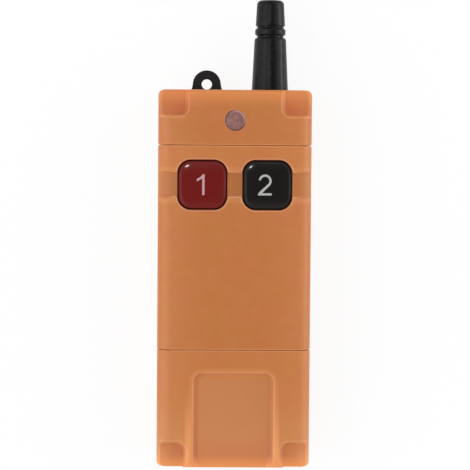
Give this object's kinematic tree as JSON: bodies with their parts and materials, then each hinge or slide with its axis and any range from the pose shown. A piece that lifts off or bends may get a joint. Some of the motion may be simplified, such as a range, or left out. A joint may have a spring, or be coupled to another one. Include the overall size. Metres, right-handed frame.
{
  "type": "industrial wireless remote control",
  "caption": "Hand-held radio remote control with push buttons, stub antenna, status light, lanyard eye and a slide-off battery cap over a block battery.",
  "frame": {"origin": "middle of the flat back face of the case, at half the case's length", "axes": "+X across the width towards the antenna's side, +Y along the length towards the antenna, +Z out of the front face with the buttons; the control lies on its back"},
  "size_m": [0.0544, 0.1662, 0.0272],
  "materials": {
    "case_orange": "satin moulded orange polyamide",
    "seal_rubber": "grey silicone rubber",
    "black_nylon": "fine-grained black nylon",
    "antenna_rubber": "satin black moulded rubber",
    "button_red": "glossy dark red moulded plastic",
    "button_black": "glossy black moulded plastic",
    "lens_mauve": "clouded mauve moulded lens",
    "diode_red": "tinted diode",
    "plunger_grey": "plain moulded plastic",
    "steel": "plated steel",
    "brass": "bright brass",
    "copper": "enamelled copper wire",
    "board_green": "green solder resist on glass fibre",
    "module_blue": "blue solder resist on glass fibre",
    "core_white": "white moulded rod",
    "battery_sleeve": "plain dark printed steel can",
    "lead_red": "insulated wire",
    "lead_black": "insulated coaxial wire"
  },
  "bodies": {
    "housing": {"front_shell": "case_orange", "rear_shell": "case_orange", "side_seals": "seal_rubber", "top_cap": "case_orange", "top_cap_seal": "seal_rubber", "battery_cap_seal": "seal_rubber", "shell_inserts": "brass", "shell_screws": "steel", "cap_screws": "steel", "lanyard_eye": "black_nylon", "status_lens": "lens_mauve", "status_led": "diode_red", "antenna_sleeve": "antenna_rubber", "antenna_core": "core_white", "antenna_coil": "copper", "antenna_ferrule": "brass", "antenna_nut": "steel", "antenna_lead": "lead_black", "button_1_gasket": "seal_rubber", "button_2_gasket": "seal_rubber", "switch_1_body": "black_nylon", "switch_1_cover": "steel", "switch_1_dome": "steel", "switch_1_legs": "steel", "switch_2_body": "black_nylon", "switch_2_cover": "steel", "switch_2_dome": "steel", "switch_2_legs": "steel", "main_board": "board_green", "board_screws": "steel", "radio_module": "module_blue", "radio_shield": "steel", "control_chip": "black_nylon", "crystal": "steel", "power_capacitor": "steel", "chip_resistors": "black_nylon", "battery": "battery_sleeve", "battery_terminals": "steel", "battery_cradle": "black_nylon", "cradle_screws": "steel", "snap_plate": "board_green", "snap_contacts": "brass", "battery_leads": "lead_red"},
    "button_1": {"button_1_cap": "button_red", "switch_1_plunger": "plunger_grey"},
    "button_2": {"button_2_cap": "button_black", "switch_2_plunger": "plunger_grey"},
    "battery_cap": {"battery_cap": "case_orange"}
  },
  "joints": [
    {"name": "button_1_press", "type": "slide", "parent": "housing", "child": "button_1", "axis": [0, 0, -1], "range_m": [0, 0.0005], "stiffness_N_per_m": 3000, "springref_m": -0.0003, "deforming": ["switch_1_dome"]},
    {"name": "button_2_press", "type": "slide", "parent": "housing", "child": "button_2", "axis": [0, 0, -1], "range_m": [0, 0.0005], "stiffness_N_per_m": 3000, "springref_m": -0.0003, "deforming": ["switch_2_dome"]},
    {"name": "battery_cap_slide", "type": "slide", "parent": "housing", "child": "battery_cap", "axis": [0, -1, 0], "range_m": [0, 0.045]}
  ]
}
